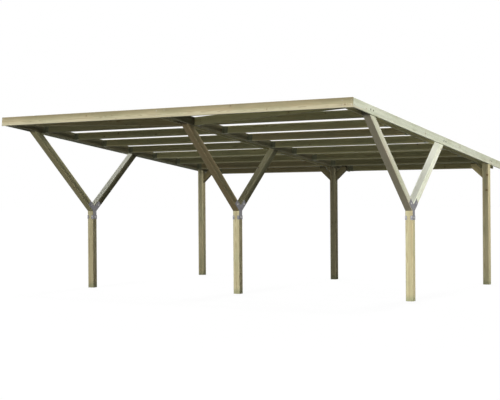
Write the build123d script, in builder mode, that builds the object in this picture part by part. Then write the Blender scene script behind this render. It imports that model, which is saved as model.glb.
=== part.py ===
from build123d import *
from math import cos, radians, sin, tan
import os

# Double carport of treated timber: three forked front posts and three straight back posts
# carry three twin-plank beams, with purlins hung between them.
# Millimetres. X runs along the front, the front faces -Y, the posts stand on Z = 0.

# Posts and the plan they stand on
post = 115.0
bay = 3095.0
row_spacing = 3685.0
post_edge = 5.0

# Roof frame: underside height over the front posts, fall to the back, overhangs
beam_underside = 2590.0
roof_fall = 6.2
front_overhang = 2250.0
rear_overhang = 575.0
board_depth = 130.0
plank_thickness = 28.0
fascia_thickness = 28.0
fascia_depth = 140.0
board_edge = 2.0

# Purlins: from the fascia's face to the first one, then evenly to the beams' rear ends
purlin_rows = 9
purlin_thickness = 45.0
purlin_depth = 120.0
first_purlin = 68.5
brace_thickness = 28.0

# Forks: short posts with two arms of the same timber, and steel plates on both sides
fork_height = 1390.0
front_arm_angle = 48.5
rear_arm_angle = 50.1
fork_plate = 4.0
fork_stem_width = 90.0
fork_stem_drop = 140.0
fork_prong_width = 95.0
fork_prong_reach = 195.0
fork_corner = 10.0
fork_crotch = 40.0
fork_tab_width = 30.0
fork_tab_height = 65.0
fork_bolt_hole = 13.0
fork_bolt_reach = 132.0
fork_bolt_drop = 104.0

# Ties between the back posts, and the knee braces that seat under them
tie_thickness = 60.0
tie_depth = 90.0
knee_width = 115.0
knee_thickness = 60.0
knee_reach = 225.0
knee_nose = 84.0
knee_angle = 48.0

# Joist hangers of folded sheet at every purlin end
hanger_sheet = 2.0
hanger_length = 82.0
hanger_height = 104.0
hanger_flange = 36.0

# Places that follow from those sizes
slope = radians(roof_fall)
fascia_drop = fascia_depth - board_depth
overall_depth = front_overhang + row_spacing + rear_overhang + fascia_depth * sin(slope)
front_row = front_overhang + fascia_drop * sin(slope) - overall_depth / 2
back_row = front_row + row_spacing
outer_face = bay + post / 2 + plank_thickness
plank_face = post / 2 + plank_thickness

# The roof plane: x across, y down the slope, z up through the boards' depth
roof = Plane(
    origin=(0, front_row, beam_underside),
    x_dir=(1, 0, 0),
    z_dir=(0, sin(slope), cos(slope)),
)
front_end = -front_overhang / cos(slope)
rear_end = (row_spacing + rear_overhang) / cos(slope)
beam_start = front_end + fascia_thickness
purlin_start = front_end + first_purlin / cos(slope)
purlin_pitch = (rear_end - hanger_sheet - purlin_thickness - purlin_start) / (purlin_rows - 1)
purlin_fronts = [purlin_start + row * purlin_pitch for row in range(purlin_rows)]
bays = {"left": (-bay + plank_face, -plank_face), "right": (plank_face, bay - plank_face)}
columns = {"left": -bay, "mid": 0, "right": bay}


def roof_top(y):
    """Height of the boards' top edge at a place along Y."""
    return beam_underside + board_depth / cos(slope) - (y - front_row) * tan(slope)


def save(builder, name):
    builder.part.label = name
    export_step(builder.part, f"parts/{name}.step")


def roof_board(name, x_low, x_high, y_low, y_high, long_axis, bottom=0):
    """One straight board of the roof frame, on edge, its long edges eased."""
    with BuildPart() as board:
        with BuildSketch(roof.offset(bottom)):
            with Locations(((x_low + x_high) / 2, (y_low + y_high) / 2)):
                Rectangle(x_high - x_low, y_high - y_low)
        extrude(amount=board_depth - bottom)
        chamfer(board.edges().filter_by(long_axis), board_edge)
    save(board, name)


os.makedirs("parts", exist_ok=True)
down_slope = Axis((0, 0, 0), (0, cos(slope), -sin(slope)))

# Front posts, square to the fork; back posts, up between the planks to the roof's top
for side, x in columns.items():
    with BuildPart() as front_post:
        with BuildSketch():
            with Locations((x, front_row)):
                Rectangle(post, post)
        extrude(amount=fork_height)
        chamfer(front_post.edges().filter_by(Axis.Z), post_edge)
    save(front_post, f"front_post_{side}")

    with BuildPart() as back_post:
        with BuildSketch():
            with Locations((x, back_row)):
                Rectangle(post, post)
        extrude(amount=roof_top(front_row))
        split(bisect_by=roof.offset(board_depth), keep=Keep.BOTTOM)
        chamfer(back_post.edges().filter_by(Axis.Z), post_edge)
    save(back_post, f"back_post_{side}")


def fork_arm(name, x, lean, way):
    """An arm that sits on half of the post's top, meets its twin and ends at the roof's top."""
    angle = radians(lean)
    rise = post / sin(angle) - post / 2 / tan(angle)

    def meet_roof(start):
        # Where an edge that leaves the fork at this height over the post's axis meets the roof
        run = roof_top(front_row) - start
        reach = run / (1 / tan(angle) + way * tan(slope))
        return front_row + way * reach, start + reach / tan(angle)

    low_start = fork_height - post / 2 / tan(angle)
    with BuildPart() as arm:
        with BuildSketch(Plane.YZ.offset(x - post / 2)):
            with BuildLine():
                Polyline(
                    (front_row, fork_height),
                    (front_row + way * post / 2, fork_height),
                    meet_roof(low_start),
                    meet_roof(fork_height + rise),
                    (front_row, fork_height + rise),
                    close=True,
                )
            make_face()
        extrude(amount=post)
        along = Axis((0, 0, 0), (0, way * sin(angle), cos(angle)))
        chamfer(arm.edges().filter_by(along), post_edge)
    save(arm, name)


# Fork arms: one leans forward and one back from each front post
for side, x in columns.items():
    fork_arm(f"front_arm_{side}", x, front_arm_angle, -1)
    fork_arm(f"rear_arm_{side}", x, rear_arm_angle, 1)

# Fork plates: a Y of steel on each side of a fork, whose foot folds round the post's corners,
# with holes for the bolts through both arms and the post
fork_heart = fork_height + post / 2 * tan(radians(front_arm_angle) / 2)
fork_foot = fork_height - fork_stem_drop
prong_turns = (front_arm_angle, -rear_arm_angle)
for side, x in columns.items():
    with BuildPart() as plates:
        for way, inward in ((-1, Align.MIN), (1, Align.MAX)):
            face = x + way * post / 2
            with BuildSketch(Plane.YZ.offset(face)) as outline:
                with Locations((front_row, fork_foot)):
                    Rectangle(fork_stem_width, fork_heart - fork_foot, align=(Align.CENTER, Align.MIN))
                for turn in prong_turns:
                    with Locations(Location((front_row, fork_heart, 0), (0, 0, turn))):
                        Rectangle(fork_prong_width, fork_prong_reach, align=(Align.CENTER, Align.MIN))
                fillet(outline.vertices().group_by(Axis.X)[0], fork_corner)
                fillet(outline.vertices().group_by(Axis.X)[-1], fork_corner)
                crotch = outline.vertices().sort_by_distance((front_row, fork_heart + fork_prong_width))[0]
                fillet(crotch, fork_crotch)
            extrude(amount=way * fork_plate)
            with BuildSketch(Plane.XY.offset(fork_foot)) as fold:
                with Locations((face + way * fork_plate, front_row)):
                    Rectangle(
                        fork_tab_width + fork_plate,
                        post + 2 * fork_plate,
                        align=(inward, Align.CENTER),
                    )
                fillet(fold.vertices().group_by(Axis.X)[0 if way < 0 else -1], fork_plate)
                with Locations((face, front_row)):
                    Rectangle(fork_tab_width, post, align=(inward, Align.CENTER), mode=Mode.SUBTRACT)
            extrude(amount=fork_tab_height)
        with BuildSketch(Plane.YZ.offset(x - post / 2 - fork_plate)):
            with Locations((front_row, fork_height - fork_bolt_drop)):
                Circle(fork_bolt_hole / 2)
            for turn in prong_turns:
                with Locations(Location((front_row, fork_heart, 0), (0, 0, turn))):
                    with Locations((0, fork_bolt_reach)):
                        Circle(fork_bolt_hole / 2)
        extrude(amount=post + 2 * fork_plate, mode=Mode.SUBTRACT)
    save(plates, f"fork_plates_{side}")

# Beams: a plank on each side of every line of posts
for side, x in columns.items():
    for hand, way in (("left", -1), ("right", 1)):
        x_low, x_high = sorted((x + way * post / 2, x + way * plank_face))
        roof_board(f"beam_{side}_plank_{hand}", x_low, x_high, beam_start, rear_end, down_slope)

# Fascia across the beams' front ends, its lower edge under theirs
roof_board("front_fascia", -outer_face, outer_face, front_end, beam_start, Axis.X, -fascia_drop)

# Purlins between the beams, level with their tops: row 0 close behind the fascia,
# the last row a hanger's sheet short of the beams' rear ends
purlin_bottom = board_depth - purlin_depth
for side, (x_low, x_high) in bays.items():
    for row, front in enumerate(purlin_fronts):
        rear = front + purlin_thickness
        roof_board(f"purlin_{side}_{row}", x_low, x_high, front, rear, Axis.X, purlin_bottom)

# Diagonals at the front: on edge from the corner behind row 0 at each outer beam
# back to the middle beam, where they stop short of the flange of row 1's hanger
diagonal_start = purlin_fronts[0] + purlin_thickness + hanger_sheet
diagonal_end = purlin_fronts[1] - hanger_flange - 2 * hanger_sheet
diagonal_span = (bay - 2 * plank_face, diagonal_end - diagonal_start)
diagonal_turn = Vector(*diagonal_span).get_angle(Vector(1, 0))
for side, way in (("left", -1), ("right", 1)):
    middle = (way * bay / 2, (diagonal_start + diagonal_end) / 2)
    with BuildPart() as diagonal:
        with BuildSketch(roof):
            with Locations(Location((*middle, 0), (0, 0, -way * diagonal_turn))):
                Rectangle(sum(diagonal_span), brace_thickness)
            with Locations(middle):
                Rectangle(*diagonal_span, mode=Mode.INTERSECT)
        extrude(amount=board_depth)
    save(diagonal, f"front_diagonal_{side}")

# Ties in line with the back posts, shallower than the purlins and level with their tops
tie_bottom = board_depth - tie_depth
tie_middle = (row_spacing - tie_bottom * sin(slope)) / cos(slope)
for side, (x_low, x_high) in bays.items():
    tie_range = (tie_middle - tie_thickness / 2, tie_middle + tie_thickness / 2)
    roof_board(f"rear_tie_{side}", x_low, x_high, *tie_range, Axis.X, tie_bottom)

# Knee braces: foot against the post's side, head under the tie, with a plumb nose
tie_seat = roof.offset(tie_bottom)
knee_top = roof_top(back_row) - tie_depth / cos(slope)
knee_rise = knee_reach / tan(radians(knee_angle))
knee_foot = knee_top - knee_nose - knee_rise
knee_depth = knee_width / sin(radians(knee_angle))
knees = {"left_outer": (-bay, 1), "left_inner": (0, -1), "right_inner": (0, 1), "right_outer": (bay, -1)}
for place, (x, way) in knees.items():
    with BuildPart() as knee:
        face = x + way * post / 2
        head = face + way * knee_reach
        with BuildSketch(Plane.XZ.offset(-back_row - knee_thickness / 2)):
            with BuildLine():
                Polyline(
                    (face, knee_foot),
                    (head, knee_foot + knee_rise),
                    (head, knee_foot + knee_rise + knee_depth),
                    (face, knee_foot + knee_depth),
                    close=True,
                )
            make_face()
        extrude(amount=knee_thickness)
        split(bisect_by=tie_seat, keep=Keep.BOTTOM)
    save(knee, f"knee_brace_{place}")

# Joist hangers: a cradle round each purlin's end and two flanges on the plank,
# of which the first and last rows have only the front one
hanger_faces = [(face, way) for low, high in bays.values() for face, way in ((low, 1), (high, -1))]
with BuildPart() as hangers:
    for face, way in hanger_faces:
        seat = roof.from_local_coords((face, 0, purlin_bottom))
        side_plane = Plane(seat, x_dir=roof.y_dir, z_dir=(1, 0, 0))
        cradle_height = hanger_height + hanger_sheet
        cradle_width = purlin_thickness + 2 * hanger_sheet
        for row, front in enumerate(purlin_fronts):
            wings = (-1, 1) if 0 < row < purlin_rows - 1 else (-1,)
            middle = front + purlin_thickness / 2
            with BuildSketch(side_plane):
                with Locations((middle, -hanger_sheet)):
                    Rectangle(cradle_width, cradle_height, align=(Align.CENTER, Align.MIN))
                with Locations((middle, 0)):
                    Rectangle(
                        purlin_thickness,
                        hanger_height,
                        align=(Align.CENTER, Align.MIN),
                        mode=Mode.SUBTRACT,
                    )
            extrude(amount=way * hanger_length)
            with BuildSketch(side_plane):
                for wing in wings:
                    with Locations((middle + wing * (cradle_width + hanger_flange) / 2, 0)):
                        Rectangle(hanger_flange, hanger_height, align=(Align.CENTER, Align.MIN))
            extrude(amount=way * hanger_sheet)
save(hangers, "joist_hangers")
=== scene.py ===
"""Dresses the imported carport: treated timber, galvanised steel, its fasteners and the studio round it."""

import math
import random

import bmesh
import bpy
from bpy.props import FloatProperty, FloatVectorProperty, PointerProperty
from mathutils import Matrix, Vector


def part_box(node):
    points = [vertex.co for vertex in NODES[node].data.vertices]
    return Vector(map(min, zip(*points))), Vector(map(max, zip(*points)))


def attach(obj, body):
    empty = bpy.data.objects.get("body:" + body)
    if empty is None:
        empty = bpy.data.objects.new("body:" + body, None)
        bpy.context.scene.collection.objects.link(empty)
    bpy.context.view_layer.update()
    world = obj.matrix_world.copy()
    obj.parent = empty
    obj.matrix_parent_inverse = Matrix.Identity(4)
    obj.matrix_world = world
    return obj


bl_info = {
    "name": "Timber Carport",
    "version": (1, 0, 0),
    "blender": (4, 5, 0),
    "location": "3D View > Sidebar > Carport",
    "description": "Finishes, fasteners and studio for a forked-post carport frame",
    "category": "Object",
}

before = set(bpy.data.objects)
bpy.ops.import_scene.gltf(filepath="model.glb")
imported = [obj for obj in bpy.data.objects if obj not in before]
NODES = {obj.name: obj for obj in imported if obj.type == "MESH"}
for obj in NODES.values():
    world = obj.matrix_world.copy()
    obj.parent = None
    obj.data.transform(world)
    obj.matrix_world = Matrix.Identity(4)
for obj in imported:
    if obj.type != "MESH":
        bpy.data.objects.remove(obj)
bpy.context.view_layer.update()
BODY = "root"
COLUMNS = ("left", "mid", "right")
BAYS = ("left", "right")
ROWS = sum(name.startswith("purlin_left_") for name in NODES)
OUTER_PLANKS = ("beam_left_plank_left", "beam_right_plank_right")

# Levels of single pieces beside their tone: partly timber from different trees, partly painted light and
# shade.
# Below one is painted shade on pieces under the roof; above one is painted light on pieces lit from the
# side or above. A piece that isn't listed has its tone as it is.
LIGHT_AND_BATCH_SHADES = {
    0.3: ("rear_arm_left",),
    0.35: ("beam_left_plank_right", "beam_mid_plank_right"),
    0.45: ("back_post_mid", "rear_arm_mid"),
    0.75: ("front_post_left", "purlin_right_7"),
    0.9: ("front_arm_mid", "knee_brace_left_inner", "knee_brace_right_inner",
          "purlin_left_6", "purlin_left_7", "purlin_left_8", "purlin_right_8"),
    1.1: ("front_post_mid", "front_arm_left", "front_arm_right", "front_diagonal_left",
          "beam_right_plank_right"),
    1.2: ("back_post_left", "back_post_right", "beam_right_plank_left",
          "purlin_right_3", "purlin_right_4", "purlin_right_5"),
    1.35: ("front_post_right", "beam_mid_plank_left", "knee_brace_left_outer",
           "purlin_left_5", "purlin_right_1", "purlin_right_2"),
    1.55: ("rear_arm_right", "front_diagonal_right"),
    2.4: ("knee_brace_right_outer",),
}
LIGHT_AND_BATCH_PALENESS = {node: shade for shade, nodes in LIGHT_AND_BATCH_SHADES.items() for node in nodes}

# How brown the heartwood makes a piece; how far its upper face goes toward weathered grey, which is partly
# weathering and partly painted light, set by how light falls on each piece; and how far its lower face is
# darkened by painted shade.
BROWN = {
    "front_arm_mid": 0.5, "front_arm_right": 0.16, "front_diagonal_left": 0.35,
    "purlin_left_7": 0.35, "purlin_left_8": 0.35, "purlin_right_3": 0.35,
}
# The rear arms differ by how light falls on them: painted light on the right one, none on the middle one.
WEATHER_AND_TOP_LIGHT = {"rear_arm_left": 0.6, "rear_arm_mid": 0.0, "rear_arm_right": 1.0}
SQUARE_WEATHER_AND_TOP_LIGHT = 0.4
BOARD_WEATHER_AND_TOP_LIGHT = 0.75
# Painted shade on lower faces: how far they go toward a dark brown.
UNDERSIDE_SHADE = {"front_arm_right": 0.74}
SQUARE_UNDERSIDE_SHADE = 0.5

# Distance from the middle of a piece to the heart of the tree it was sawn from.
POST_PITH = 0.03
ARM_PITH = 0.035
KNEE_PITH = 0.04
BOARD_PITH = 0.07

# How far the boards under the roof, and the board across the front, go darker toward their upper edge and
# paler toward their lower edge.
BOARD_UPPER_DARKENING = 0.1
FASCIA_UPPER_DARKENING = 0.62

X = Vector((1.0, 0.0, 0.0))
Y = Vector((0.0, 1.0, 0.0))
Z = Vector((0.0, 0.0, 1.0))


def middle(node):
    """Centre of a node's box."""
    low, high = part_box(node)
    return (low + high) / 2


def span(node, axis):
    """Lowest and highest reach of a node along an axis."""
    reach = [axis.dot(corner.co) for corner in NODES[node].data.vertices]
    return min(reach), max(reach)


# The roof's own axes: down its fall to the back, and square up from it.
DOWN = (middle(f"purlin_left_{ROWS - 1}") - middle("purlin_left_0")).normalized()
LIFT = X.cross(DOWN)


def on_roof(x, down, lift):
    """A point given in the roof's own axes."""
    return X * x + DOWN * down + LIFT * lift


def grain_axes(node):
    """Unit axes of a piece of timber: along its longest straight edge, and two square to that."""
    same_spot = 1e-5
    same_face = math.radians(1.0)
    shape = bmesh.new()
    shape.from_mesh(NODES[node].data)
    bmesh.ops.remove_doubles(shape, verts=shape.verts, dist=same_spot)
    bmesh.ops.dissolve_limit(shape, angle_limit=same_face, verts=shape.verts, edges=shape.edges)
    edge = max(shape.edges, key=lambda each: each.calc_length())
    along = (edge.verts[1].co - edge.verts[0].co).normalized()
    shape.free()
    if max(along, key=abs) < 0:
        along.negate()
    level = max(map(abs, along)) == abs(along.x)
    start = Y if level else X
    across = (start - along * start.dot(along)).normalized()
    return along, across, along.cross(across)


class CarportTimber(bpy.types.PropertyGroup):
    """Tones and grain of the treated timber."""

    post_tone: FloatVectorProperty(
        name="Post tone", description="Colour of the posts",
        subtype="COLOR", size=3, default=(0.52, 0.475, 0.275), min=0, max=1)
    # Painted shade: the left and middle forks' arms are written darker than the posts, as if in the roof's
    # shade.
    arm_tone: FloatVectorProperty(
        name="Arm tone", description="Colour of the fork arms under the roof",
        subtype="COLOR", size=3, default=(0.33, 0.317, 0.17), min=0, max=1)
    # Painted shade: the knees are written very dark, as if deep in the roof's shade.
    knee_tone: FloatVectorProperty(
        name="Knee tone", description="Colour of the knee braces",
        subtype="COLOR", size=3, default=(0.1, 0.085, 0.038), min=0, max=1)
    fascia_tone: FloatVectorProperty(
        name="Fascia tone", description="Colour of the board across the front",
        subtype="COLOR", size=3, default=(0.51, 0.455, 0.28), min=0, max=1)
    outer_tone: FloatVectorProperty(
        name="Outer plank tone",
        description="Colour of the outermost planks and the right fork's arms, greyed by weather",
        subtype="COLOR", size=3, default=(0.5, 0.555, 0.465), min=0, max=1)
    # Painted shade: the inner planks and the ties are written darker than the outer ones, as if in the
    # roof's shade.
    inner_tone: FloatVectorProperty(
        name="Inner board tone", description="Colour of the other planks and the ties",
        subtype="COLOR", size=3, default=(0.4, 0.38, 0.2), min=0, max=1)
    # Painted shade: the purlins and diagonals are written at about half the posts' tone, as if in the
    # roof's shade.
    purlin_tone: FloatVectorProperty(
        name="Purlin tone", description="Colour of the purlins and the diagonals",
        subtype="COLOR", size=3, default=(0.255, 0.247, 0.11), min=0, max=1)
    green_tone: FloatVectorProperty(
        name="Treatment tone", description="Green left in the wood by the pressure treatment",
        subtype="COLOR", size=3, default=(0.36, 0.4, 0.23), min=0, max=1)
    rust_tone: FloatVectorProperty(
        name="Heartwood tone", description="Brown of heartwood streaks and knots",
        subtype="COLOR", size=3, default=(0.4, 0.25, 0.12), min=0, max=1)
    silver_tone: FloatVectorProperty(
        name="Weathered tone", description="Grey of the faces that lie open to the sky",
        subtype="COLOR", size=3, default=(0.8, 0.81, 0.7), min=0, max=1)
    cream_tone: FloatVectorProperty(
        name="Sapwood tone", description="Colour of the palest sapwood",
        subtype="COLOR", size=3, default=(0.68, 0.63, 0.45), min=0, max=1)
    ring_width: FloatProperty(
        name="Ring width", description="Width of one year's growth",
        subtype="DISTANCE", unit="LENGTH", default=0.0052, min=0.001, max=0.02)
    knot_gap: FloatProperty(
        name="Knot gap", description="Usual distance between knots",
        subtype="DISTANCE", unit="LENGTH", default=0.3, min=0.05, max=2)
    knot_radius: FloatProperty(
        name="Knot radius", description="Radius of the largest knots",
        subtype="DISTANCE", unit="LENGTH", default=0.014, min=0.002, max=0.05)
    grain_depth: FloatProperty(
        name="Grain depth", description="Depth of the grain's relief",
        subtype="DISTANCE", unit="LENGTH", default=0.0008, min=0, max=0.005)
    damp_height: FloatProperty(
        name="Damp height", description="Height to which the post feet stay damp and green",
        subtype="DISTANCE", unit="LENGTH", default=0.13, min=0, max=1)


class CarportSteel(bpy.types.PropertyGroup):
    """Finish of the galvanised plates, hangers and fasteners."""

    zinc_tone: FloatVectorProperty(
        name="Zinc tone", description="Colour of the dipped fork plates",
        subtype="COLOR", size=3, default=(0.19, 0.185, 0.192), min=0, max=1)
    dull_tone: FloatVectorProperty(
        name="Dull tone", description="Colour of zinc that has gone dull",
        subtype="COLOR", size=3, default=(0.16, 0.158, 0.17), min=0, max=1)
    # Painted shade: dark, as if the hangers, nails, end screws and beam bolts stood in the roof's shade.
    hanger_tone: FloatVectorProperty(
        name="Hanger tone",
        description="Colour of the joist hangers, the nails, the end screws and the beam bolts",
        subtype="COLOR", size=3, default=(0.1, 0.104, 0.056), min=0, max=1)
    bolt_tone: FloatVectorProperty(
        name="Bolt tone", description="Colour of the fork bolts and the fascia's screws",
        subtype="COLOR", size=3, default=(0.55, 0.54, 0.51), min=0, max=1)
    spangle: FloatProperty(
        name="Spangle", description="Size of the zinc's crystals",
        subtype="DISTANCE", unit="LENGTH", default=0.011, min=0.001, max=0.1)


class CarportFasteners(bpy.types.PropertyGroup):
    """Sizes and places of bolts, nails and screws."""

    fork_bolt: FloatProperty(
        name="Fork bolt", description="Diameter of the bolts through the fork plates",
        subtype="DISTANCE", unit="LENGTH", default=0.012, min=0.004, max=0.03)
    stem_rise: FloatProperty(
        name="Stem bolt rise", description="Height of the stem bolt above the fork plates' foot",
        subtype="DISTANCE", unit="LENGTH", default=0.036, min=0, max=0.2)
    prong_reach: FloatProperty(
        name="Prong bolt reach", description="Distance of a prong bolt from the fork's heart",
        subtype="DISTANCE", unit="LENGTH", default=0.132, min=0, max=0.5)
    beam_bolt: FloatProperty(
        name="Beam bolt", description="Diameter of the coach bolts that clamp the planks",
        subtype="DISTANCE", unit="LENGTH", default=0.012, min=0.004, max=0.03)
    beam_pair: FloatProperty(
        name="Beam bolt pair", description="Half the distance between two coach bolts",
        subtype="DISTANCE", unit="LENGTH", default=0.047, min=0.01, max=0.1)
    nail_head: FloatProperty(
        name="Nail head", description="Diameter of the hanger nails' heads",
        subtype="DISTANCE", unit="LENGTH", default=0.0085, min=0.002, max=0.02)
    screw_head: FloatProperty(
        name="Screw head", description="Diameter of the wood screws' heads",
        subtype="DISTANCE", unit="LENGTH", default=0.0115, min=0.002, max=0.03)


class CarportStage(bpy.types.PropertyGroup):
    """Camera, lamps and floor."""

    eye: FloatVectorProperty(
        name="Eye", description="Place of the camera",
        subtype="XYZ", unit="LENGTH", size=3, default=(9.4932, -16.8059, 1.5723))
    heading: FloatProperty(
        name="Heading", description="Turn of the view from straight ahead to the left",
        subtype="ANGLE", unit="ROTATION", default=math.radians(30.3582))
    roll: FloatProperty(
        name="Roll", description="Tilt of the view about its own axis",
        subtype="ANGLE", unit="ROTATION", default=math.radians(-0.3964))
    lens: FloatProperty(
        name="Lens", description="Focal length in millimetres on a 36 mm wide frame",
        default=78.92, min=10, max=300)
    side_light: FloatProperty(
        name="Side light", description="Level of the lamp at the right side", default=1.1, min=0, max=5)
    front_light: FloatProperty(
        name="Front light", description="Level of the lamp at the front", default=0.8, min=0, max=5)
    top_light: FloatProperty(
        name="Top light", description="Level of the lamp overhead", default=0.8, min=0, max=5)
    back_light: FloatProperty(
        name="Back light", description="Level of the lamp behind at the left", default=0.6, min=0, max=5)
    room_light: FloatProperty(
        name="Room light", description="Level of the even light of the room", default=0.09, min=0, max=2)
    floor_tone: FloatVectorProperty(
        name="Floor tone", description="Colour of the floor where it is seen",
        subtype="COLOR", size=3, default=(0.25, 0.25, 0.25), min=0, max=1)
    floor_bounce: FloatVectorProperty(
        name="Floor bounce", description="Colour of the light that the floor sends up",
        subtype="COLOR", size=3, default=(0.07, 0.07, 0.07), min=0, max=1)


class Socket:
    """A value in a node tree. An expression on such values adds its Math nodes."""

    def __init__(self, tree, link):
        self.tree = tree
        self.link = link

    def math(self, operation, *values):
        return self.tree.node("ShaderNodeMath", {"operation": operation}, dict(enumerate(values)))

    def __add__(self, other):
        return self.math("ADD", self, other)

    __radd__ = __add__

    def __sub__(self, other):
        return self.math("SUBTRACT", self, other)

    def __rsub__(self, other):
        return self.math("SUBTRACT", other, self)

    def __mul__(self, other):
        return self.math("MULTIPLY", self, other)

    __rmul__ = __mul__

    def __truediv__(self, other):
        return self.math("DIVIDE", self, other)

    def __rtruediv__(self, other):
        return self.math("DIVIDE", other, self)

    def __pow__(self, other):
        return self.math("POWER", self, other)

    def __rpow__(self, other):
        return self.math("POWER", other, self)

    def __abs__(self):
        return self.math("ABSOLUTE", self)

    def __mod__(self, other):
        return self.math("FLOORED_MODULO", self, other)

    def __rmod__(self, other):
        return self.math("FLOORED_MODULO", other, self)

    def also(self, name):
        """Another result of the same node."""
        return Socket(self.tree, self.link.node.outputs[name])


class Tree:
    """A node tree that is written as expressions."""

    def __init__(self, tree):
        self.tree = tree
        tree.nodes.clear()

    def node(self, kind, settings=None, sockets=None, result=0):
        """One node: its settings first, then its sockets' values or links, by name or place."""
        node = self.tree.nodes.new(kind)
        for key, value in (settings or {}).items():
            setattr(node, key, value)
        shown = [socket for socket in node.inputs if socket.enabled]
        names = [socket.name for socket in shown]
        for key, value in (sockets or {}).items():
            socket = shown[key if isinstance(key, int) else names.index(key)]
            if isinstance(value, Socket):
                self.tree.links.new(value.link, socket)
            else:
                socket.default_value = value
        given = [socket for socket in node.outputs if socket.enabled]
        if not given:
            return None
        named = [socket.name for socket in given]
        return Socket(self, given[result if isinstance(result, int) else named.index(result)])

    def split(self, vector):
        """The three parts of a vector."""
        x = self.node("ShaderNodeSeparateXYZ", None, {"Vector": vector})
        return x, x.also("Y"), x.also("Z")

    def noise(self, place, stretch, shift, detail=2.0):
        """Noise with its own stretch along each axis of a place."""
        moved = self.node("ShaderNodeVectorMath", {"operation": "MULTIPLY_ADD"},
                          {0: place, 1: stretch, 2: shift})
        return self.node("ShaderNodeTexNoise", {"noise_dimensions": "3D"},
                         {"Vector": moved, "Scale": 1.0, "Detail": detail, "Roughness": 0.55})

    def step(self, value, low, high):
        """A soft step from nought at low to one at high."""
        return self.node("ShaderNodeMapRange", {"interpolation_type": "SMOOTHSTEP"},
                         {"Value": value, "From Min": low, "From Max": high})

    def blend(self, share, one, other):
        """A colour that goes from one to the other."""
        return self.node("ShaderNodeMix", {"data_type": "RGBA", "blend_type": "MIX"},
                         {"Factor": share, "A": one, "B": other})

    def surface(self, sockets):
        """The finished surface."""
        shader = self.node("ShaderNodeBsdfPrincipled", None, sockets)
        self.node("ShaderNodeOutputMaterial", None, {"Surface": shader})


def new_finish(name):
    """A bare material and its tree."""
    material = bpy.data.materials.new(name)
    material.use_nodes = True
    return material, Tree(material.node_tree)


def paint(tone, level=1.0):
    """A tone at a level, as the four numbers of a colour socket."""
    return (*(min(part * level, 1.0) for part in tone), 1.0)


def toward(tone, other, share):
    """A tone moved part of the way to another."""
    return tuple(one + (two - one) * share for one, two in zip(tone, other))


def scaled(tone, level):
    """A tone made lighter or darker."""
    return tuple(part * level for part in tone)


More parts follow.
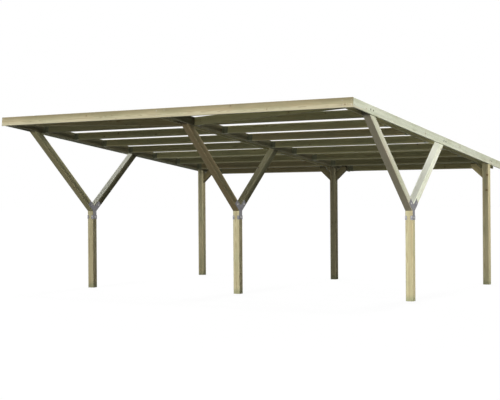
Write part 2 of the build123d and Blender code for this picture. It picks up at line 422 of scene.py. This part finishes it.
def treated_timber(node, tone, pith, damp=False, upper_darkening=None):
    """Pressure-treated softwood whose rings, knots and checks run along one piece of timber."""
    timber = bpy.context.scene.carport_timber
    # This level is partly painted light and shade, and the detail tones below follow it.
    tone = scaled(tone, LIGHT_AND_BATCH_PALENESS.get(node, 1.0))
    depth = sum(tone) / sum(timber.post_tone)
    rust = scaled(timber.rust_tone, depth)
    tone = toward(tone, rust, BROWN.get(node, 0.0))
    green = scaled(timber.green_tone, depth)
    cream = scaled(timber.cream_tone, depth)
    chance = random.Random(node)
    along, across, up = grain_axes(node)
    turn = Matrix((along, across, up))
    shift = Vector((chance.uniform(0, 40), chance.uniform(0, 40), chance.uniform(0, 40)))
    heart = chance.uniform(0, math.tau)
    pith_across = pith * math.cos(heart)
    pith_up = pith * math.sin(heart)
    level = chance.uniform(0.94, 1.06)
    material, tree = new_finish(f"treated_{node}")

    place = tree.node("ShaderNodeTexCoord", None, None, "Object")
    own = tree.node("ShaderNodeMapping", {"vector_type": "POINT"},
                    {"Vector": place, "Location": -(turn @ middle(node)), "Rotation": turn.to_euler()})
    run = tree.split(own)[0]

    # The stem wanders a little along its length, so that rings run out of the faces in long arches.
    sway = tree.noise(own, (0.8, 3.0, 3.0), shift).also("Color")
    sway = tree.node("ShaderNodeVectorMath", {"operation": "MULTIPLY_ADD"},
                     {0: sway, 1: (0.0, 0.05, 0.05), 2: (0.0, -0.025 - pith_across, -0.025 - pith_up)})
    stem = tree.node("ShaderNodeVectorMath", {"operation": "ADD"}, {0: own, 1: sway})
    _, stem_across, stem_up = tree.split(stem)
    radius = (stem_across * stem_across + stem_up * stem_up) ** 0.5
    bearing = stem_up.math("ARCTAN2", stem_up, stem_across)

    # Knots point out from the pith, so they are spread over length and bearing.
    gap = timber.knot_gap
    knot_place = tree.node("ShaderNodeCombineXYZ", None,
                           {"X": run / gap + shift.x, "Y": bearing * (pith / gap + 0.14) + shift.y})
    branch = tree.node("ShaderNodeTexVoronoi", {"voronoi_dimensions": "2D", "feature": "F1"},
                       {"Vector": knot_place, "Scale": 1.0, "Randomness": 0.9})
    lot, lot_size, _ = tree.split(branch.also("Color"))
    knot_reach = (0.35 + 0.65 * lot_size) * (timber.knot_radius / gap)
    near = branch / knot_reach + 9.0 * (1.0 - tree.step(lot, 0.4, 0.42))
    knot = 1.0 - tree.step(near, 0.72, 1.0)
    knot_rim = tree.step(near, 0.5, 0.85) * (1.0 - tree.step(near, 0.95, 1.2))
    swirl = 1.0 - tree.step(near, 0.5, 5.0)

    unrest = tree.noise(own, (2.2, 30.0, 30.0), shift)
    growth = (radius + swirl * 0.006) / timber.ring_width + unrest * 0.9
    season = growth % 1.0
    late = tree.step(season, 0.3, 0.86) * (1.0 - tree.step(season, 0.93, 1.0))
    fibre = tree.noise(own, (8.0, 300.0, 300.0), shift, 1.0)
    streak = tree.noise(own, (0.5, 22.0, 22.0), shift * 1.7, 3.0)
    cloud = tree.noise(own, (1.5, 6.0, 6.0), shift * 0.6, 4.0)
    slit = tree.noise(own, (1.1, 34.0, 34.0), shift * 2.3, 2.0)
    check = (1.0 - tree.step(abs(slit - 0.5), 0.0015, 0.006)) * tree.step(cloud, 0.52, 0.62)

    facing = tree.node("ShaderNodeNewGeometry", None, None, "Normal")
    end = abs(tree.node("ShaderNodeVectorMath", {"operation": "DOT_PRODUCT"},
                        {0: facing, 1: along}, "Value"))
    end = tree.step(end, 0.55, 0.8)
    level_up = tree.split(facing)[2]
    sky = tree.step(level_up, 0.45, 0.85)
    underside_shade = tree.step(level_up, -0.35, -0.7)

    early_tone = toward(tone, cream, 0.15)
    late_tone = toward(tone, rust, 0.42)
    colour = tree.blend(late * (0.3 + 0.9 * unrest),
                        paint(early_tone, level * 1.12), paint(late_tone, level * 0.82))
    colour = tree.blend(tree.step(streak, 0.47, 0.68) * 0.5, colour,
                        paint(toward(tone, rust, 0.5), level))
    colour = tree.blend(tree.step(cloud, 0.42, 0.66) * 0.42, colour,
                        paint(toward(tone, green, 0.75), level * 0.92))
    colour = tree.blend(tree.step(streak, 0.5, 0.3) * 0.4, colour,
                        paint(toward(tone, cream, 0.4), level * 1.1))
    colour = tree.blend((1.0 - tree.step(fibre, 0.3, 0.6)) * 0.22, colour, paint(tone, level * 0.55))
    colour = tree.blend(swirl * 0.3, colour, paint(toward(tone, rust, 0.6), level * 0.85))
    colour = tree.blend(knot * 0.8, colour, paint(rust, 0.62))
    colour = tree.blend(knot_rim * 0.7, colour, paint(rust, 0.25))
    colour = tree.blend(check * 0.75, colour, paint(rust, 0.22))
    colour = tree.blend(end * 0.55, colour, paint(toward(tone, green, 0.6), 0.62))
    # Upper faces go toward weathered grey: partly weathering, partly painted light.
    weather_and_top_light = WEATHER_AND_TOP_LIGHT.get(node, SQUARE_WEATHER_AND_TOP_LIGHT if upper_darkening is None else BOARD_WEATHER_AND_TOP_LIGHT)
    colour = tree.blend(sky * (weather_and_top_light * (0.7 + 0.5 * cloud)), colour, paint(timber.silver_tone, level))
    if upper_darkening is None:
        # Painted shade: lower faces go toward a dark brown.
        colour = tree.blend(underside_shade * UNDERSIDE_SHADE.get(node, SQUARE_UNDERSIDE_SHADE), colour,
                            paint(toward(tone, rust, 0.55), 0.3))
    else:
        # A board goes darker and browner from its upper edge down, paler toward its lower part, and a
        # greyer green in a thin strip along its lower edge.
        foot, top = span(node, LIFT)
        rise = tree.node("ShaderNodeVectorMath", {"operation": "DOT_PRODUCT"},
                         {0: place, 1: LIFT}, "Value")
        share = (rise - foot) / (top - foot)
        colour = tree.blend(tree.step(share + (cloud - 0.5) * 0.4, 0.42, 0.92) * upper_darkening, colour,
                            paint(toward(rust, green, 0.45), 0.62))
        colour = tree.blend((1.0 - tree.step(share, 0.1, 0.55)) * (0.6 * upper_darkening), colour,
                            paint(cream, 1.12))
        colour = tree.blend((1.0 - tree.step(share, 0.02, 0.07)) * 0.22, colour,
                            paint(toward(timber.silver_tone, green, 0.5), 0.62))
    if damp:
        height = tree.split(place)[2] / timber.damp_height
        wet = 1.0 - tree.step(height + (cloud - 0.5) * 0.9, 0.15, 0.95)
        colour = tree.blend(wet * 0.55, colour, paint(green, 0.7))

    rough = 0.6 + 0.22 * fibre - 0.08 * late + 0.12 * end
    relief = 0.16 * late + 0.22 * fibre - 1.3 * check - 0.4 * knot_rim
    bump = tree.node("ShaderNodeBump", None,
                     {"Strength": 0.6, "Distance": timber.grain_depth, "Height": relief})
    tree.surface({"Base Color": colour, "Roughness": rough, "Normal": bump, "Specular IOR Level": 0.06})
    return material


def galvanised(name, tone, dull_tone, crystal, dull_share, shine=1.0):
    """Zinc with its crystals and dull patches."""
    material, tree = new_finish(name)
    place = tree.node("ShaderNodeTexCoord", None, None, "Object")
    spangle = tree.node("ShaderNodeTexVoronoi", {"voronoi_dimensions": "3D", "feature": "F1"},
                        {"Vector": place, "Scale": 1.0 / crystal, "Randomness": 1.0})
    glint = tree.split(spangle.also("Color"))[0]
    cloud = tree.noise(place, (9.0, 9.0, 9.0), (3.0, 1.0, 7.0), 4.0)
    speck = tree.noise(place, (160.0, 160.0, 160.0), (5.0, 2.0, 4.0), 2.0)
    dull = tree.step(cloud, 0.45, 0.68) * dull_share
    colour = tree.blend(glint * 0.55, paint(tone, 1.12), paint(tone, 0.74))
    colour = tree.blend(dull, colour, paint(dull_tone))
    colour = tree.blend(tree.step(speck, 0.62, 0.78) * 0.5, colour, paint(dull_tone, 0.55))
    rough = 0.36 + 0.16 * glint + 0.2 * dull + 0.2 * (1.0 - shine)
    bump = tree.node("ShaderNodeBump", None,
                     {"Strength": 0.35, "Distance": 0.0004, "Height": glint * 0.6 + speck * 0.7})
    tree.surface({"Base Color": colour, "Roughness": rough, "Normal": bump,
                  "Metallic": (1.0 - 0.45 * dull) * shine})
    return material


def dress(node, material):
    """Gives a CAD node its finish."""
    slots = NODES[node].data.materials
    slots.clear()
    slots.append(material)


def set_at(point, outward, spin=0.0):
    """A place on a face: local Z looks out of it."""
    turn = outward.to_track_quat("Z", "Y").to_matrix().to_4x4()
    return Matrix.Translation(point) @ turn @ Matrix.Rotation(spin, 4, "Z")


def skin(shape, rings):
    """Faces between rings of corners; a ring of one corner closes an end."""
    for lower, upper in zip(rings, rings[1:]):
        count = max(len(lower), len(upper))
        for at in range(count):
            after = (at + 1) % count
            corners = [lower[at % len(lower)], lower[after % len(lower)],
                       upper[after % len(upper)], upper[at % len(upper)]]
            shape.faces.new(list(dict.fromkeys(corners)))


def turned(shape, place, profile, sides):
    """A turned form from pairs of radius and height."""
    rings = []
    for radius, height in profile:
        count = sides if radius else 1
        rings.append([shape.verts.new(place @ Vector((
            radius * math.cos(math.tau * at / count), radius * math.sin(math.tau * at / count), height)))
            for at in range(count)])
    skin(shape, rings)


def six_sided(shape, place, flats, height, base=0.0):
    """A hexagon head or nut with its top corners turned off."""
    sides = 36
    inner = flats / 2
    crown = 0.94 * inner
    foot, shoulder, top = [], [], []
    for at in range(sides):
        angle = math.tau * at / sides
        corner = inner / math.cos((angle + math.pi / 6) % (math.pi / 3) - math.pi / 6)
        fall = (corner - crown) * math.tan(math.radians(28.0))
        ray = Vector((math.cos(angle), math.sin(angle), 0.0))
        foot.append(shape.verts.new(place @ (ray * corner + Z * base)))
        shoulder.append(shape.verts.new(place @ (ray * corner + Z * (base + height - fall))))
        top.append(shape.verts.new(place @ (ray * crown + Z * (base + height))))
    skin(shape, [foot, shoulder, top, [shape.verts.new(place @ (Z * (base + height)))]])


def washer(shape, place, radius, thickness):
    """A round washer with a broken edge."""
    edge = 0.3 * thickness
    turned(shape, place, [(radius, 0.0), (radius, thickness - edge), (radius - edge, thickness),
                          (0.0, thickness)], 28)


def bolt_head(shape, place, size):
    """A hexagon head on its washer."""
    thickness = 0.2 * size
    washer(shape, place, 1.05 * size, thickness)
    six_sided(shape, place, 1.55 * size, 0.62 * size, thickness)


def bolt_nut(shape, place, size):
    """A washer, a nut and the threaded end of the bolt."""
    thickness = 0.2 * size
    washer(shape, place, 1.05 * size, thickness)
    six_sided(shape, place, 1.55 * size, 0.8 * size, thickness)
    pitch = 0.146 * size
    foot = thickness + 0.8 * size
    thread = [(0.5 * size, foot)]
    for turn in range(4):
        thread += [(0.5 * size, foot + (turn + 0.35) * pitch), (0.43 * size, foot + (turn + 0.8) * pitch)]
    thread += [(0.4 * size, foot + 4.2 * pitch), (0.0, foot + 4.2 * pitch)]
    turned(shape, place, thread, 20)


def coach_head(shape, place, size):
    """The domed head of a coach bolt."""
    radius = 1.1 * size
    dome = [(radius, 0.0), (radius, 0.06 * size)]
    for at in range(1, 5):
        angle = math.pi / 2 * at / 5
        dome.append((radius * math.cos(angle), 0.06 * size + 0.42 * size * math.sin(angle)))
    turned(shape, place, [*dome, (0.0, 0.48 * size)], 28)


def nail_head(shape, place, size):
    """A flat nail head with a turned edge."""
    turned(shape, place, [(0.5 * size, 0.0), (0.5 * size, 0.09 * size), (0.42 * size, 0.16 * size),
                          (0.0, 0.18 * size)], 12)


def screw_head(shape, place, size):
    """A screw head drawn almost flush, with a six-point driver recess."""
    turned(shape, place, [(0.5 * size, -0.02 * size), (0.48 * size, 0.07 * size), (0.28 * size, 0.1 * size),
                          (0.24 * size, 0.02 * size), (0.1 * size, 0.0), (0.0, 0.0)], 18)


def fix(name, shape, material):
    """Turns a finished shape into a steel piece that rides on the frame."""
    if not shape.verts:
        raise RuntimeError(f"{name} has no fasteners")
    bmesh.ops.recalc_face_normals(shape, faces=shape.faces)
    mesh = bpy.data.meshes.new(name)
    shape.to_mesh(mesh)
    shape.free()
    mesh.shade_smooth()
    mesh.set_sharp_from_angle(angle=math.radians(32.0))
    mesh.materials.append(material)
    piece = bpy.data.objects.new(name, mesh)
    bpy.context.scene.collection.objects.link(piece)
    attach(piece, BODY)


def bolt_finish():
    """The plated steel of the fork bolts and the fascia's screws."""
    steel = bpy.context.scene.carport_steel
    name = "plated_bolts"
    return bpy.data.materials.get(name) or galvanised(name, steel.bolt_tone, steel.dull_tone, 0.0035, 0.6)


def shaded_zinc_finish():
    """Zinc darkened by painted shade, for the hangers, the nails, the end screws and the beam bolts."""
    steel = bpy.context.scene.carport_steel
    name = "shade_painted_zinc"
    return bpy.data.materials.get(name) or galvanised(
        name, steel.hanger_tone, toward(steel.hanger_tone, (0.0, 0.0, 0.0), 0.3), steel.spangle, 0.8, 0.4)


class CARPORT_OT_square_timber(bpy.types.Operator):
    """Gives the posts, fork arms and knees their treated timber"""

    bl_idname = "carport.square_timber"
    bl_label = "Square timber"

    def execute(self, context):
        timber = context.scene.carport_timber
        for side in COLUMNS:
            for row in ("front", "back"):
                node = f"{row}_post_{side}"
                dress(node, treated_timber(node, timber.post_tone, POST_PITH, damp=True))
            # The right fork's arms take the paler outer tone and the others take the darker arm tone:
            # painted light and painted shade on one timber.
            tone = timber.outer_tone if side == "right" else timber.arm_tone
            for row in ("front", "rear"):
                node = f"{row}_arm_{side}"
                dress(node, treated_timber(node, tone, ARM_PITH))
        for node in NODES:
            if node.startswith("knee_brace"):
                dress(node, treated_timber(node, timber.knee_tone, KNEE_PITH))
        return {"FINISHED"}


class CARPORT_OT_boards(bpy.types.Operator):
    """Gives the planks, fascia, purlins, diagonals and ties their treated timber"""

    bl_idname = "carport.boards"
    bl_label = "Boards"

    def execute(self, context):
        timber = context.scene.carport_timber
        tones = {"beam": timber.inner_tone, "rear_tie": timber.inner_tone,
                 "purlin": timber.purlin_tone, "front_diagonal": timber.purlin_tone}
        for start, tone in tones.items():
            for node in NODES:
                if node.startswith(start):
                    # The outer planks take the paler outer tone; the other boards take darker tones that
                    # hold painted shade.
                    own = timber.outer_tone if node in OUTER_PLANKS else tone
                    dress(node, treated_timber(node, own, BOARD_PITH, upper_darkening=BOARD_UPPER_DARKENING))
        fascia = treated_timber("front_fascia", timber.fascia_tone, BOARD_PITH, upper_darkening=FASCIA_UPPER_DARKENING)
        dress("front_fascia", fascia)
        return {"FINISHED"}


class CARPORT_OT_plates(bpy.types.Operator):
    """Gives the fork plates and joist hangers their galvanised finish"""

    bl_idname = "carport.plates"
    bl_label = "Plates and hangers"

    def execute(self, context):
        steel = context.scene.carport_steel
        material = galvanised("galvanised_plate", steel.zinc_tone, steel.dull_tone, steel.spangle, 0.8)
        for side in COLUMNS:
            dress(f"fork_plates_{side}", material)
        dress("joist_hangers", shaded_zinc_finish())
        return {"FINISHED"}


class CARPORT_OT_fork_bolts(bpy.types.Operator):
    """Bolts the plates to each fork and pins their folded feet"""

    bl_idname = "carport.fork_bolts"
    bl_label = "Fork bolts"

    def execute(self, context):
        sizes = context.scene.carport_fasteners
        tab_in = 0.015
        tab_rise = 0.045
        for side in COLUMNS:
            shape = bmesh.new()
            low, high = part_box(f"fork_plates_{side}")
            post_low, post_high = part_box(f"front_post_{side}")
            row = (post_low.y + post_high.y) / 2
            lean = grain_axes(f"front_arm_{side}")[0].angle(Z)
            lean = min(lean, math.pi - lean)
            back_lean = grain_axes(f"rear_arm_{side}")[0].angle(Z)
            back_lean = min(back_lean, math.pi - back_lean)
            heart = post_high.z + (post_high.x - post_low.x) / 2 * math.tan(lean / 2)
            reach = sizes.prong_reach
            spots = [(row, low.z + sizes.stem_rise),
                     (row - reach * math.sin(lean), heart + reach * math.cos(lean)),
                     (row + reach * math.sin(back_lean), heart + reach * math.cos(back_lean))]
            for spin, (y, z) in enumerate(spots):
                bolt_head(shape, set_at(Vector((high.x, y, z)), X, 0.4 + spin), sizes.fork_bolt)
                bolt_nut(shape, set_at(Vector((low.x, y, z)), -X, 0.9 * spin), sizes.fork_bolt)
            sheet = (high.x - low.x - (post_high.x - post_low.x)) / 2
            for x in (post_low.x + tab_in, post_high.x - tab_in):
                for y, way in ((post_low.y - sheet, -Y), (post_high.y + sheet, Y)):
                    screw_head(shape, set_at(Vector((x, y, low.z + tab_rise)), way), sizes.screw_head)
            fix(f"fork_bolts_{side}", shape, bolt_finish())
        return {"FINISHED"}


class CARPORT_OT_beam_bolts(bpy.types.Operator):
    """Clamps the planks of each beam to the arms and the back post with pairs of coach bolts"""

    bl_idname = "carport.beam_bolts"
    bl_label = "Beam bolts"

    def execute(self, context):
        sizes = context.scene.carport_fasteners
        for side in COLUMNS:
            shape = bmesh.new()
            plank = f"beam_{side}_plank_left"
            low_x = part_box(plank)[0].x
            high_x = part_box(f"beam_{side}_plank_right")[1].x
            lift = sum(span(plank, LIFT)) / 2
            crossings = [(middle(f"back_post_{side}").y - lift * LIFT.y) / DOWN.y]
            for arm in (f"front_arm_{side}", f"rear_arm_{side}"):
                up = grain_axes(arm)[2]
                line = sum(span(arm, up)) / 2
                crossings.append((line - lift * up.dot(LIFT)) / up.dot(DOWN))
            head_x, nut_x, out = (low_x, high_x, -X) if side == "left" else (high_x, low_x, X)
            for crossing in crossings:
                for pair in (-sizes.beam_pair, sizes.beam_pair):
                    coach_head(shape, set_at(on_roof(head_x, crossing + pair, lift), out), sizes.beam_bolt)
                    nut_place = set_at(on_roof(nut_x, crossing + pair, lift), -out, crossing)
                    bolt_nut(shape, nut_place, sizes.beam_bolt)
            fix(f"beam_bolts_{side}", shape, shaded_zinc_finish())
        return {"FINISHED"}


class CARPORT_OT_hanger_nails(bpy.types.Operator):
    """Nails each joist hanger to its plank and its purlin"""

    bl_idname = "carport.hanger_nails"
    bl_label = "Hanger nails"

    def execute(self, context):
        size = context.scene.carport_fasteners.nail_head
        sheet = 0.002
        flange_row = 0.019
        flange_stagger = 0.006
        flange_rises = (0.016, 0.04, 0.064, 0.088)
        cheek_spots = ((0.022, 0.03), (0.055, 0.05), (0.022, 0.082))
        for bay in BAYS:
            shape = bmesh.new()
            for row in range(ROWS):
                purlin = f"purlin_{bay}_{row}"
                front, rear = span(purlin, DOWN)
                foot = span(purlin, LIFT)[0]
                low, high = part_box(purlin)
                for face, inward in ((low.x, 1), (high.x, -1)):
                    for stagger, rise in enumerate(flange_rises):
                        off = flange_row + (flange_stagger if stagger % 2 else -flange_stagger)
                        spots = [front - sheet - off, rear + sheet + off]
                        for down in spots[:1] if row in (0, ROWS - 1) else spots:
                            spot = on_roof(face + inward * sheet, down, foot + rise)
                            nail_head(shape, set_at(spot, X * inward), size)
                    for along, rise in cheek_spots:
                        x = face + inward * along
                        nail_head(shape, set_at(on_roof(x, front - sheet, foot + rise), -DOWN), size)
                        nail_head(shape, set_at(on_roof(x, rear + sheet, foot + rise), DOWN), size)
            fix(f"hanger_nails_{bay}", shape, shaded_zinc_finish())
        return {"FINISHED"}


class CARPORT_OT_board_screws(bpy.types.Operator):
    """Screws the fascia to the planks, and the knees, diagonals and ties at their ends"""

    bl_idname = "carport.board_screws"
    bl_label = "Board screws"

    def execute(self, context):
        size = context.scene.carport_fasteners.screw_head
        diagonal_inset = 0.15
        end_inset = 0.06
        end_inset_share = 0.22
        half_pair = 0.014
        shape = bmesh.new()
        face = span("front_fascia", DOWN)[0]
        foot, top = span("front_fascia", LIFT)
        for side in COLUMNS:
            for half in BAYS:
                x = middle(f"beam_{side}_plank_{half}").x
                for share in (0.25, 0.75):
                    lift = foot + (top - foot) * share
                    screw_head(shape, set_at(on_roof(x, face, lift), -DOWN), size)
        fix("fascia_screws", shape, bolt_finish())

        shape = bmesh.new()
        for node in NODES:
            if not node.startswith(("knee_brace", "front_diagonal", "rear_tie")):
                continue
            along, across, side = grain_axes(node)
            outward = across.z if node.startswith("knee_brace") else across.y
            out = across if outward < 0 else -across
            near, far = span(node, along)
            centre = middle(node)
            inset = min(end_inset, end_inset_share * (far - near))
            if node.startswith("front_diagonal"):
                inset = diagonal_inset
            for reach in (near + inset, far - inset):
                for off in (-half_pair, half_pair):
                    point = along * reach + out * span(node, out)[1] + side * (centre.dot(side) + off)
                    screw_head(shape, set_at(point, out), size)
        fix("end_screws", shape, shaded_zinc_finish())
        return {"FINISHED"}


class CARPORT_OT_stage(bpy.types.Operator):
    """Sets the floor, the lamps, the white room and the camera"""

    bl_idname = "carport.stage"
    bl_label = "Studio"

    def execute(self, context):
        scene = context.scene
        stage = scene.carport_stage
        scene.view_settings.view_transform = "Standard"
        self.floor(stage)
        self.room(scene, stage)
        # The side and front lamps skim the roof, so that the outermost boards shade the frame behind them.
        fall = math.degrees(DOWN.angle(Y))
        self.lamp("side_lamp", stage.side_light, azimuth=90.0, elevation=0.0, softness=3.6)
        self.lamp("front_lamp", stage.front_light, azimuth=0.0, elevation=fall, softness=3.5)
        self.lamp("top_lamp", stage.top_light, azimuth=0.0, elevation=88.0, softness=12.0)
        self.lamp("back_lamp", stage.back_light, azimuth=222.0, elevation=32.0, softness=25.0)
        self.camera(scene, stage)
        return {"FINISHED"}

    def floor(self, stage):
        """A wide floor that looks white and keeps a faint shadow."""
        half = 150.0
        white_share = 0.78
        shape = bmesh.new()
        shape.faces.new([shape.verts.new((x * half, y * half, 0.0))
                         for x, y in ((-1, -1), (1, -1), (1, 1), (-1, 1))])
        mesh = bpy.data.meshes.new("studio_floor")
        shape.to_mesh(mesh)
        shape.free()
        floor = bpy.data.objects.new("studio_floor", mesh)
        bpy.context.scene.collection.objects.link(floor)
        material, tree = new_finish("studio_floor")
        bounce = tree.node("ShaderNodeBsdfDiffuse", None, {"Color": paint(stage.floor_bounce)})
        matt = tree.node("ShaderNodeBsdfDiffuse", None, {"Color": paint(stage.floor_tone)})
        white = tree.node("ShaderNodeEmission", None, {"Color": (1.0, 1.0, 1.0, 1.0), "Strength": 1.2})
        shown = tree.node("ShaderNodeMixShader", None, {0: white_share, 1: matt, 2: white})
        mixed = tree.node("ShaderNodeMixShader", None, {0: self.seen(tree), 1: bounce, 2: shown})
        tree.node("ShaderNodeOutputMaterial", None, {"Surface": mixed})
        mesh.materials.append(material)

    def seen(self, tree):
        """One where the camera looks, straight or by a mirror or through glass."""
        ray = tree.node("ShaderNodeLightPath", None, None, "Is Camera Ray")
        both = ray.math("MAXIMUM", ray, ray.also("Is Glossy Ray"))
        return both.math("MAXIMUM", both, ray.also("Is Transmission Ray"))

    def room(self, scene, stage):
        """An even light round the object, white where it is seen."""
        world = bpy.data.worlds.new("studio_room")
        world.use_nodes = True
        scene.world = world
        tree = Tree(world.node_tree)
        light = tree.node("ShaderNodeBackground", None,
                          {"Color": (1.0, 1.0, 1.0, 1.0), "Strength": stage.room_light})
        white = tree.node("ShaderNodeBackground", None, {"Color": (1.0, 1.0, 1.0, 1.0), "Strength": 1.0})
        mixed = tree.node("ShaderNodeMixShader", None, {0: self.seen(tree), 1: light, 2: white})
        tree.node("ShaderNodeOutputWorld", None, {"Surface": mixed})

    def lamp(self, name, level, azimuth, elevation, softness):
        """A lamp far away. Angles in degrees: from the front to the right, up, and across the lamp."""
        light = bpy.data.lights.new(name, "SUN")
        light.energy = level * math.pi
        light.angle = math.radians(softness)
        lamp = bpy.data.objects.new(name, light)
        bpy.context.scene.collection.objects.link(lamp)
        round_z, rise = math.radians(azimuth), math.radians(elevation)
        source = Vector((math.sin(round_z) * math.cos(rise), -math.cos(round_z) * math.cos(rise),
                         math.sin(rise)))
        lamp.rotation_mode = "QUATERNION"
        lamp.rotation_quaternion = source.to_track_quat("Z", "Y")
        lamp.location = source * 20.0

    def camera(self, scene, stage):
        """The camera of the photograph's view."""
        data = bpy.data.cameras.new("photo_camera")
        data.lens = stage.lens
        data.sensor_width = 36.0
        data.clip_end = 500.0
        camera = bpy.data.objects.new("photo_camera", data)
        scene.collection.objects.link(camera)
        ahead = Vector((-math.sin(stage.heading), math.cos(stage.heading), 0.0))
        level = ahead.to_track_quat("-Z", "Y").to_matrix().to_4x4()
        camera.matrix_world = (Matrix.Translation(Vector(stage.eye)) @ level
                               @ Matrix.Rotation(stage.roll, 4, "Z"))
        scene.camera = camera


class CARPORT_PT_sidebar(bpy.types.Panel):
    """Lists the carport's steps and values"""

    bl_idname = "CARPORT_PT_sidebar"
    bl_label = "Timber Carport"
    bl_space_type = "VIEW_3D"
    bl_region_type = "UI"
    bl_category = "Carport"

    def draw(self, context):
        for step in STEPS:
            self.layout.operator(step.bl_idname)
        for holder, group in GROUPS.items():
            box = self.layout.box()
            for key in group.__annotations__:
                box.prop(getattr(context.scene, holder), key)


GROUPS = {"carport_timber": CarportTimber, "carport_steel": CarportSteel,
          "carport_fasteners": CarportFasteners, "carport_stage": CarportStage}
STEPS = (CARPORT_OT_square_timber, CARPORT_OT_boards, CARPORT_OT_plates, CARPORT_OT_fork_bolts,
         CARPORT_OT_beam_bolts, CARPORT_OT_hanger_nails, CARPORT_OT_board_screws, CARPORT_OT_stage)
CLASSES = (*GROUPS.values(), *STEPS, CARPORT_PT_sidebar)


def register():
    for each in CLASSES:
        bpy.utils.register_class(each)
    for holder, group in GROUPS.items():
        setattr(bpy.types.Scene, holder, PointerProperty(type=group))


def unregister():
    for holder in GROUPS:
        delattr(bpy.types.Scene, holder)
    for each in reversed(CLASSES):
        bpy.utils.unregister_class(each)


def main():
    register()
    for step in STEPS:
        group, name = step.bl_idname.split(".")
        getattr(getattr(bpy.ops, group), name)()


if __name__ == "__main__":
    main()
